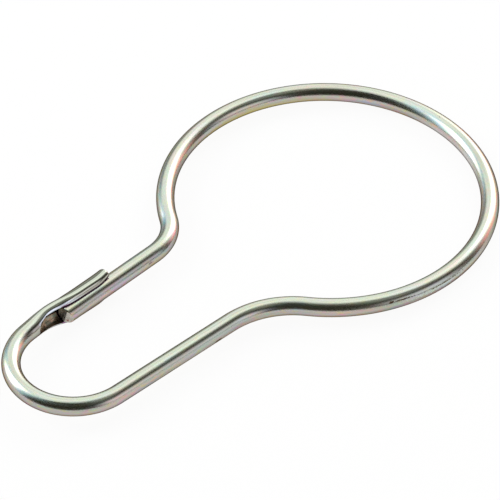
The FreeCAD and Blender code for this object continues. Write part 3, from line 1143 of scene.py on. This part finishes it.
@dataclass(frozen=True)
class LipHighlight:
    """The lips' faces, with a pale painted highlight along them.

    The width is in millimetres across the face, and towards the tip the band
    grows duller and narrower in the sprung end's painted shadow.  corner is where
    the tip's outer edge gets a painted highlight.
    """

    width: float = 0.36
    narrowing: float = 0.12
    reach: float = 0.60
    gain: float = 6.0
    cover: float = 0.85
    corner: float = -0.9
    corner_gain: float = 4.0
    # Colours of the painted highlight band, of the band in deeper painted shade, and of the painted
    # highlight on the tip's corner.
    painted_band: tuple = (0.74, 0.84, 0.92)
    deep_shade: tuple = (0.40, 0.37, 0.33)
    bright: tuple = (0.84, 0.86, 0.85)

    def lay(self, w: Wiring, facts: WireFacts, colour: Socket) -> Socket:
        """Lay the painted highlight on the lips' faces over a colour.

        Args:
            w: The wiring of the material's nodes.
            facts: What the mesh tells about each point.
            colour: The colour of the plating.

        Returns:
            The colour with the painted highlight on the lips.
        """
        # Painted highlight: a pale band along each lip's face, which narrows and dulls in the sprung end's
        # painted shadow towards the tip.
        width = w.minus(self.width, w.times(facts.deep_shade, self.narrowing))
        middle = w.plus(facts.past, w.times(width, 0.5))
        off = w.math("DIVIDE", w.math("ABSOLUTE", middle), width)
        # Painted highlight on the tip's outer edge.
        outer = w.below(facts.edge, self.corner, self.corner_gain)
        corner = w.times(outer, w.above(facts.polish_and_tip_highlight, 1.0, 1.0))
        highlight_mask = w.larger(w.below(off, self.reach, self.gain), corner)
        painted_band = w.mix(corner, w.mix(facts.deep_shade, self.painted_band, self.deep_shade), self.bright)
        return w.mix(w.times(highlight_mask, self.cover), colour, painted_band)


@dataclass(frozen=True)
class HollowShade:
    """The inside of the catch, darkened with painted shade in patches of brown and green.

    Each fade says how strong a painted shade is at the rim and how much it
    loses with each millimetre into the hollow.
    """

    # Painted shade inside the hollow, in patches of dark brown and green.
    shade_patches: tuple = (
        (0.38, (0.12, 0.125, 0.09)),
        (0.47, (0.27, 0.19, 0.13)),
        (0.56, (0.32, 0.24, 0.17)),
        (0.64, (0.25, 0.29, 0.24)),
    )
    patch_scale: float = 1500.0
    gain: float = 14.0
    rim_shade_cover: float = 0.85
    rim_shade_fade: tuple = (1.3, 7.0)
    gap_shade_fade: tuple = (1.4, 2.4)
    # Painted shade at the rim, painted shadow under the sprung end, and purple painted shade in the gap
    # between the lips and the leg.
    rim: tuple = (0.19, 0.07, 0.045)
    under_end_shadow: tuple = (0.07, 0.05, 0.10)
    gap: tuple = (0.46, 0.22, 0.48)

    def lay(self, w: Wiring, facts: WireFacts, colour: Socket) -> tuple[Socket, Socket]:
        """Lay the painted shade of the hollow over a colour.

        Args:
            w: The wiring of the material's nodes.
            facts: What the mesh tells about each point.
            colour: The colour of the plating.

        Returns:
            The colour with the hollow, and the hollow's mask.
        """
        inside = w.times(facts.past, self.gain, clamp=True)
        # Painted shade of the hollow, in patches.
        tone_and_painted_light = w.ramp(w.noise(facts.coord, self.patch_scale, 2.5, 0.6, draw=0.6)["Fac"], self.shade_patches)
        rim_shade, gap_shade = (
            w.minus(first, w.times(facts.past, loss), clamp=True)
            for first, loss in (self.rim_shade_fade, self.gap_shade_fade)
        )
        # Deeper painted shade at the rim, under the sprung end and in the gap at the lips.
        tone_and_painted_light = w.mix(w.times(rim_shade, self.rim_shade_cover), tone_and_painted_light, self.rim)
        tone_and_painted_light = w.mix(facts.shaded, tone_and_painted_light, self.under_end_shadow)
        tone_and_painted_light = w.mix(w.times(gap_shade, facts.shaded), tone_and_painted_light, self.gap)
        return w.mix(inside, colour, tone_and_painted_light), inside


@dataclass(frozen=True)
class ZincPlate:
    """Bright zinc plate with a clear passivate on drawn wire.

    The values that end in rough add to the roughness, and tint_loss, line_loss
    and burnish say what the rolls took away on the catch.
    """

    name: str = "zinc_plate"
    roughness: float = 0.25
    burnish: float = 0.10
    streak_rough: float = 0.10
    rub_rough: float = 0.14
    hollow_rough: float = 0.06
    scuff_rough: float = 0.4
    scuff_dirt: float = 0.8
    scuff_depth: float = 2.0
    tint_loss: float = 0.45
    line_loss: float = 0.8
    line_depth: float = 0.0035 * MM
    speck: tuple = (0.55, 0.50, 0.46)
    edge_tint: tuple = (0.07, 0.04, 0.03)
    # Coloured patches in the passivate, and after them pale painted reflections.
    tints_and_reflections: tuple = (
        Mark(51.0, 200.0, 15.0, 0.72, 1.2, 0.9, (0.56, 0.50, 0.22)),
        Mark(108.0, 146.0, 12.0, 0.50, 1.5, 0.60, (0.52, 0.39, 0.36)),
        Mark(119.0, 30.0, 15.0, 0.45, 1.5, 0.65, (0.40, 0.48, 0.41)),
        Mark(121.0, 112.0, 20.0, 0.26, 1.5, 0.60, (0.42, 0.50, 0.42)),
        Mark(153.0, 31.0, 12.0, 0.42, 1.8, 0.75, (0.43, 0.51, 0.45)),
        Mark(111.6, 6.0, 2.4, 0.40, 2.5, 0.60, (0.52, 0.47, 0.24)),
        Mark(16.5, 186.0, 3.0, 0.40, 2.5, 0.60, (0.52, 0.47, 0.26)),
        # Painted reflections: pale patches that lighten the wire's edge at 83, 91, 106 and 153 mm.
        Mark(83.0, 198.0, 6.0, 0.70, 1.0, 0.75, (0.80, 0.79, 0.77)),
        Mark(91.0, 180.0, 6.5, 0.60, 1.0, 0.85, (0.90, 0.90, 0.88)),
        Mark(106.0, 8.0, 8.0, 0.40, 1.2, 0.70, (0.66, 0.67, 0.60)),
        Mark(153.0, 337.0, 15.0, 0.40, 1.2, 0.75, (0.74, 0.69, 0.56)),
    )
    rubs: tuple = (
        Mark(117.2, 16.0, 4.0, 0.27, 6.0, 0.8, (0.60, 0.69, 0.64)),
        Mark(121.6, 24.0, 1.4, 0.12, 5.0, 0.6, (0.55, 0.52, 0.60)),
    )
    scuffs: tuple = (
        Mark(124.65, 30.0, 0.36, 0.17, 1.6, 1.0),
        Mark(123.0, 30.0, 1.3, 0.09, 3.8, 0.95),
        Mark(120.2, 27.0, 1.8, 0.05, 6.5, 0.5),
        Mark(116.6, 22.0, 2.3, 0.08, 5.6, 0.9, (0.14, 0.10, 0.05)),
        Mark(14.7, 168.0, 0.50, 0.10, 4.5, 0.55),
        Mark(149.45, 345.0, 0.70, 0.24, 1.3, 1.0, (0.09, 0.055, 0.015)),
        Mark(81.0, 95.0, 0.13, 0.10, 2.0, 0.45),
    )

    def marked(self, w: Wiring, group: bpy.types.ShaderNodeTree, coord: Socket, colour: Socket) -> tuple:
        """Lay the marks over a colour.

        Args:
            w: The wiring of the material's nodes.
            group: The scuff's node group.
            coord: The straight coordinates.
            colour: The colour under the marks.

        Returns:
            The colour with the marks, the mask of the rubs and that of the scuffs.
        """
        masks = {}
        for kind, marks, edge in (("tone_and_painted_light", self.tints_and_reflections, "Soft"), ("rub", self.rubs, "Mask"),
                                  ("scuff", self.scuffs, "Mask")):
            for mark in marks:
                mask = mark.place(w, group, coord)[edge]
                colour = w.mix(mask, colour, mark.colour)
                masks[kind] = w.larger(masks[kind], mask) if kind in masks else mask
        return colour, masks["rub"], masks["scuff"]

    def material(self, groups: dict) -> bpy.types.Material:
        """Build the material.

        Args:
            groups: The shared node groups by name.

        Returns:
            The material, with its Principled shader.
        """
        made, w, shader = new_material(self.name)
        facts = WireFacts(w)
        polish = w.times(facts.polish_and_tip_highlight, 1.0, clamp=True)
        lines = w.effect(groups["drawn_lines"], facts.coord)
        amount = w.minus(1.0, w.times(facts.polish_and_tip_highlight, self.tint_loss), clamp=True)
        # The passivate's tints over a painted reflection round the wire.
        tint = w.effect(groups["passivate_and_painted_reflection"], facts.coord, Streak=lines["Streak"], Amount=amount)
        colour, rub, scuff = self.marked(w, groups["wire_scuff"], facts.coord, tint["Color"])
        # Painted highlight on the lips' faces, dulled by the sprung end's painted shadow towards the tip.
        colour = LipHighlight().lay(w, facts, colour)
        # Painted shade inside the catch, under the sprung end and in the gap at the lips.
        colour, inside = HollowShade().lay(w, facts, colour)
        specks = w.effect(groups["plating_specks"], facts.coord)["Mask"]
        w.join(w.mix(specks, colour, self.speck, "MULTIPLY"), shader.inputs["Base Color"])
        rough = w.plus(w.times(w.minus(lines["Streak"], 0.5), self.streak_rough), self.roughness)
        rough = w.minus(rough, w.times(polish, self.burnish))
        for mask, more in ((rub, self.rub_rough), (inside, self.hollow_rough), (scuff, self.scuff_rough)):
            rough = w.plus(rough, w.times(mask, more))
        w.join(rough, shader.inputs["Roughness"])
        w.join(w.minus(1.0, w.times(scuff, self.scuff_dirt)), shader.inputs["Metallic"])
        depth = w.times(lines["Height"], w.minus(1.0, w.times(polish, self.line_loss)))
        w.bump(w.minus(depth, w.times(scuff, self.scuff_depth)), self.line_depth, shader)
        shader.inputs["Specular Tint"].default_value = (*self.edge_tint, 1.0)
        return made


@dataclass(frozen=True)
class ShearedSteel:
    """Torn steel on the face where the wire was cut, thinly plated."""

    name: str = "sheared_steel"
    roughness: float = 0.34
    grain_rough: float = 0.15
    grain_depth: float = 0.05 * MM
    grains: tuple = ((0.35, (0.34, 0.33, 0.27)), (0.65, (0.60, 0.56, 0.52)))
    rust: tuple = (0.26, 0.085, 0.06)
    rust_place: tuple = (0.0, -0.44 * MM, -0.68 * MM)
    rust_reach: float = 0.27

    def material(self) -> bpy.types.Material:
        """Build the material of the cut face.

        Returns:
            The material, with its Principled shader.
        """
        made, w, shader = new_material(self.name)
        coord = w.node("Attribute", attribute_name="straight_wire").outputs["Vector"]
        grain = w.noise(w.stretch(coord, (1.0, 1.0, 0.5)), 3600.0, 3.0, 0.6)["Fac"]
        centre = w.node("VectorMath", operation="DISTANCE")
        w.join(coord, centre.inputs[0])
        w.join(self.rust_place, centre.inputs[1])
        away = w.plus(w.times(centre.outputs["Value"], 1.0 / MM), w.times(w.minus(grain, 0.5), 0.5))
        spot = w.below(away, self.rust_reach, 6.0)
        w.join(w.mix(spot, w.ramp(grain, self.grains), self.rust), shader.inputs["Base Color"])
        w.join(w.plus(w.times(grain, self.grain_rough), self.roughness), shader.inputs["Roughness"])
        shader.inputs["Metallic"].default_value = 1.0
        w.bump(grain, self.grain_depth, shader)
        return made


# Studio


def look(place: Vector, target: Vector, roll: float = 0.0) -> Matrix:
    """Aim a lamp or camera at a target.

    Args:
        place: Where it stands.
        target: What it is aimed at.
        roll: Its turn about the aim, in radians.

    Returns:
        Its matrix in the scene.
    """
    away = (place - target).normalized()
    right = Vector((0.0, 0.0, 1.0)).cross(away).normalized()
    up = away.cross(right)
    turned_right = math.cos(roll) * right + math.sin(roll) * up
    turned_up = -math.sin(roll) * right + math.cos(roll) * up
    turned = Matrix((turned_right, turned_up, away)).transposed().to_4x4()
    return Matrix.Translation(place) @ turned


def direction(azimuth: float, elevation: float) -> Vector:
    """Turn two angles to a direction.

    Args:
        azimuth: Turn from the X axis, in degrees.
        elevation: Rise above the horizon, in degrees.

    Returns:
        The unit vector.
    """
    a = math.radians(azimuth)
    e = math.radians(elevation)
    return Vector((math.cos(a) * math.cos(e), math.sin(a) * math.cos(e), math.sin(e)))


@dataclass(frozen=True)
class PhotoCamera:
    """The camera at the photograph's viewing angle, in metres and degrees."""

    place: tuple = (-0.2239244, -0.2250356, 0.2811930)
    aim: tuple = (-0.0151356, -0.0008474, 0.0)
    roll: float = 0.174
    lens: float = 225.13

    def build(self) -> bpy.types.Object:
        """Create the camera and make it the scene's own.

        Returns:
            The camera.
        """
        data = bpy.data.cameras.new("photo_camera")
        data.sensor_width = 36.0
        data.lens = self.lens
        data.clip_start = 0.01
        data.clip_end = 20.0
        camera = new_object("photo_camera", data)
        camera.matrix_world = look(Vector(self.place), Vector(self.aim), math.radians(self.roll))
        bpy.context.scene.camera = camera
        return camera

    def azimuth(self) -> float:
        """Return the direction of the camera round the hook, in degrees."""
        return math.degrees(math.atan2(self.place[1] - self.aim[1], self.place[0] - self.aim[0]))


@dataclass(frozen=True)
class SoftBox:
    """A lamp with a wide face, placed round the hook from the side of the camera."""

    name: str
    around: float
    height: float
    size: float
    power: float
    distance: float = 0.9

    def build(self, camera_azimuth: float, centre: Vector) -> bpy.types.Object:
        """Create the lamp, aimed at the centre of the hook.

        Args:
            camera_azimuth: Direction of the camera, in degrees.
            centre: The middle of the hook.

        Returns:
            The lamp, which the wire mirrors through its panel alone.
        """
        data = bpy.data.lights.new(self.name, "AREA")
        data.shape = "DISK"
        data.size = self.size
        data.energy = self.power
        lamp = new_object(self.name, data)
        offset = direction(camera_azimuth + self.around, self.height)
        lamp.matrix_world = look(centre + offset * self.distance, centre)
        lamp.visible_glossy = False
        return lamp


@dataclass(frozen=True)
class Panel:
    """A panel with soft edges, curved round the hook, for the wire to mirror.

    The spans are in degrees, round the hook from the side of the camera and
    above the horizon.  tone is the brightness of its cloth, where 1 is white,
    and soft is how many degrees its edges take to fade.
    """

    name: str
    around: tuple
    height: tuple
    tone: float
    colour: tuple = WHITE
    soft: tuple = (14.0, 14.0)
    distance: float = 1.2
    cover: float = 1.0
    pitch: float = 2.5
    least_steps: int = 6

    def strength(self, turn: float, rise: float) -> float:
        """Find how much the panel covers in one direction.

        Args:
            turn: Turn from the side of the camera, in degrees.
            rise: Rise above the horizon, in degrees.

        Returns:
            The share that it covers, from 0 to 1.
        """
        left = (turn - self.around[0]) / self.soft[0]
        right = (self.around[1] - turn) / self.soft[0]
        low = (rise - self.height[0]) / self.soft[1]
        high = (self.height[1] - rise) / self.soft[1]
        wide = max(0.0, 1.0 - min(left, right))
        tall = max(0.0, 1.0 - min(low, high))
        level = max(0.0, 1.0 - math.hypot(wide, tall))
        return self.cover * level * level * (3.0 - 2.0 * level)

    def build(self, camera_azimuth: float, centre: Vector) -> bpy.types.Object:
        """Create the panel round the hook.

        Args:
            camera_azimuth: Direction of the camera, in degrees.
            centre: The middle of the hook.

        Returns:
            The panel, which is part of the stage.
        """
        spans = (self.around, self.height)
        columns, rows = (max(self.least_steps, int((last - first) / self.pitch)) for first, last in spans)
        points, strengths = [], []
        for turn in np.linspace(*self.around, columns + 1):
            for rise in np.linspace(*self.height, rows + 1):
                strengths.append(self.strength(turn, rise))
                points.append(tuple(centre + direction(camera_azimuth + turn, rise) * self.distance))
        corners = (0, 1, rows + 2, rows + 1)
        faces = [
            tuple(i * (rows + 1) + j + corner for corner in corners)
            for i in range(columns) for j in range(rows)
        ]
        mesh = bpy.data.meshes.new(self.name)
        mesh.from_pydata(points, [], faces)
        layer = mesh.attributes.new("cover", "FLOAT", "POINT")
        layer.data.foreach_set("value", strengths)
        mesh.materials.append(self.material())
        panel = new_object(self.name, mesh)
        panel.visible_camera = False
        panel.visible_diffuse = False
        panel.visible_shadow = False
        return panel

    def material(self) -> bpy.types.Material:
        """Build the panel's material, clear towards its edges.

        Returns:
            The material, which only shines.
        """
        made, w, shader = new_material(self.name)
        w.tree.nodes.remove(shader)
        cover = w.node("Attribute", attribute_name="cover").outputs["Fac"]
        clear = w.node("BsdfTransparent").outputs[0]
        blend = w.blend(cover, clear, w.glow("Emission", self.colour, self.tone))
        w.join(blend, w.tree.nodes["Material Output"].inputs["Surface"])
        return made


@dataclass(frozen=True)
class Floor:
    """Pale paper under the hook, in the plane that it rests on.

    It touches the catch and the far side of the ring.  From below it is clear,
    so that the hook's underside can be seen.
    """

    rests: tuple = ((-0.035, 0.007, -0.00225), (0.0192, -0.0108, -0.00125), (0.0241, -0.0021, -0.00125))
    gap: float = 0.02 * MM
    half: float = 3.0
    colour: tuple = (0.90, 0.90, 0.89)
    roughness: float = 0.95
    white_share: float = 0.92
    mirrored_share: float = 0.8

    def build(self) -> bpy.types.Object:
        """Lay the floor and give it its paper.

        Returns:
            The floor, which is part of the stage.
        """
        first, second, third = (Vector(p) for p in self.rests)
        normal = (second - first).cross(third - first).normalized()
        normal = normal if normal.z > 0 else -normal
        east = Vector((1.0, 0.0, 0.0))
        east = (east - normal * east.dot(normal)).normalized()
        north = normal.cross(east)
        base = first - normal * self.gap
        signs = ((-1, -1), (1, -1), (1, 1), (-1, 1))
        corners = [base + (east * a + north * b) * self.half for a, b in signs]
        mesh = bpy.data.meshes.new("floor")
        mesh.from_pydata([tuple(c) for c in corners], [], [(0, 1, 2, 3)])
        mesh.materials.append(self.paper())
        floor = new_object("floor", mesh)
        return floor

    def paper(self) -> bpy.types.Material:
        """Build the paper: white where it is seen or mirrored, with soft shadows.

        Returns:
            The material, clear from below.
        """
        made, w, shader = new_material("floor_paper")
        shader.inputs["Base Color"].default_value = (*self.colour, 1.0)
        shader.inputs["Roughness"].default_value = self.roughness
        shader.inputs["Specular IOR Level"].default_value = 0.0
        path = w.node("LightPath").outputs
        seen = w.times(w.larger(path["Is Camera Ray"], path["Is Transmission Ray"]), self.white_share)
        share = w.larger(seen, w.times(path["Is Glossy Ray"], self.mirrored_share))
        top = w.blend(share, shader.outputs[0], w.glow("Emission", WHITE))
        beneath = w.node("NewGeometry").outputs["Backfacing"]
        blend = w.blend(beneath, top, w.node("BsdfTransparent").outputs[0])
        w.join(blend, w.tree.nodes["Material Output"].inputs["Surface"])
        return made


@dataclass(frozen=True)
class Studio:
    """Floor, surround, lamps and panels."""

    centre: tuple = (-0.0154, 0.0, 0.0)
    surround: float = 1.0
    fill: float = 0.75

    def build(self, camera: PhotoCamera) -> None:
        """Build the whole studio round the hook.

        Args:
            camera: The camera, which the lamps and panels stand round.
        """
        Floor().build()
        self.build_surround()
        middle = Vector(self.centre)
        azimuth = camera.azimuth()
        for part in (*self.boxes(), *self.panels()):
            part.build(azimuth, middle)
            LOG.info("stage %s", part.name)

    def boxes(self) -> tuple:
        """Return the lamps that light the floor and shape the shadow."""
        return (
            SoftBox("lamp_left", 146.0, 30.0, 0.5, 3.0),
            SoftBox("lamp_right", 250.0, 30.0, 0.5, 3.0),
        )

    def panels(self) -> tuple:
        """Return the panels that draw the bands along the wire."""
        return (
            Panel("cloth_above", (-180.0, 180.0), (38.0, 90.0), 1.72, (0.97, 1.0, 0.96), (1.0, 25.0), 1.6),
            Panel("cloth_front", (-92.0, 126.0), (-9.0, 90.0), 0.030, (1.0, 0.98, 0.58), (26.0, 9.0), 1.5),
            Panel("cloth_side", (20.0, 134.0), (46.0, 90.0), 0.34, (1.0, 1.0, 0.88), (30.0, 18.0), 1.47),
            Panel("cloth_top", (-180.0, 180.0), (78.0, 90.0), 0.6, (0.82, 1.0, 0.86), (1.0, 9.0), 1.46, 0.7),
            Panel("cloth_far", (156.0, 240.0), (-6.0, 50.0), 1.62, (0.97, 1.0, 0.98), (14.0, 14.0), 1.45),
            Panel("cloth_gap", (186.0, 236.0), (-6.0, 32.0), 0.36, (0.96, 1.0, 0.98), (12.0, 14.0), 1.42),
            Panel("glow_front", (24.0, 96.0), (-6.0, 44.0), 1.35, (1.0, 0.93, 1.0), (28.0, 22.0), 1.4),
            Panel("rim_left", (104.0, 168.0), (-8.0, 30.0), 2.0, (1.0, 0.46, 0.42), (14.0, 12.0), 1.35),
            Panel("rim_right", (212.0, 292.0), (-4.0, 68.0), 1.3, (0.50, 0.78, 1.0), (14.0, 14.0), 1.35),
            Panel("box_left", (122.0, 172.0), (4.0, 54.0), 3.4, WHITE, (12.0, 14.0)),
            Panel("box_right", (226.0, 276.0), (0.0, 60.0), 3.4, WHITE, (12.0, 14.0)),
        )

    def build_surround(self) -> None:
        """Light the hook from all round, with white where it is seen or mirrored."""
        world = bpy.data.worlds.new("surround")
        world.use_nodes = True
        world.node_tree.nodes.clear()
        w = Wiring(world.node_tree)
        path = w.node("LightPath").outputs
        seen = w.larger(w.larger(path["Is Camera Ray"], path["Is Glossy Ray"]), path["Is Transmission Ray"])
        fill = w.glow("Background", WHITE, self.fill)
        blend = w.blend(seen, fill, w.glow("Background", WHITE, self.surround))
        w.join(blend, w.node("OutputWorld").inputs["Surface"])
        bpy.context.scene.world = world


def main() -> None:
    """Build the hook, its finishes and the studio."""
    logging.basicConfig(level=logging.INFO, format="%(name)s: %(message)s")
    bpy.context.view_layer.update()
    bpy.context.scene.view_settings.view_transform = "Standard"
    groups = {
        "drawn_lines": drawn_lines_group(),
        # The plating's colour, with its painted reflection round the wire.
        "passivate_and_painted_reflection": passivate_and_reflection_group(),
        "wire_scuff": scuff_group(),
        "plating_specks": speck_group(),
    }
    piece = CurtainHook().build()
    for material in (ZincPlate().material(groups), ShearedSteel().material()):
        piece.data.materials.append(material)
        LOG.info("finish %s", material.name)
    camera = PhotoCamera()
    camera.build()
    Studio().build(camera)


if __name__ == "__main__":
    main()
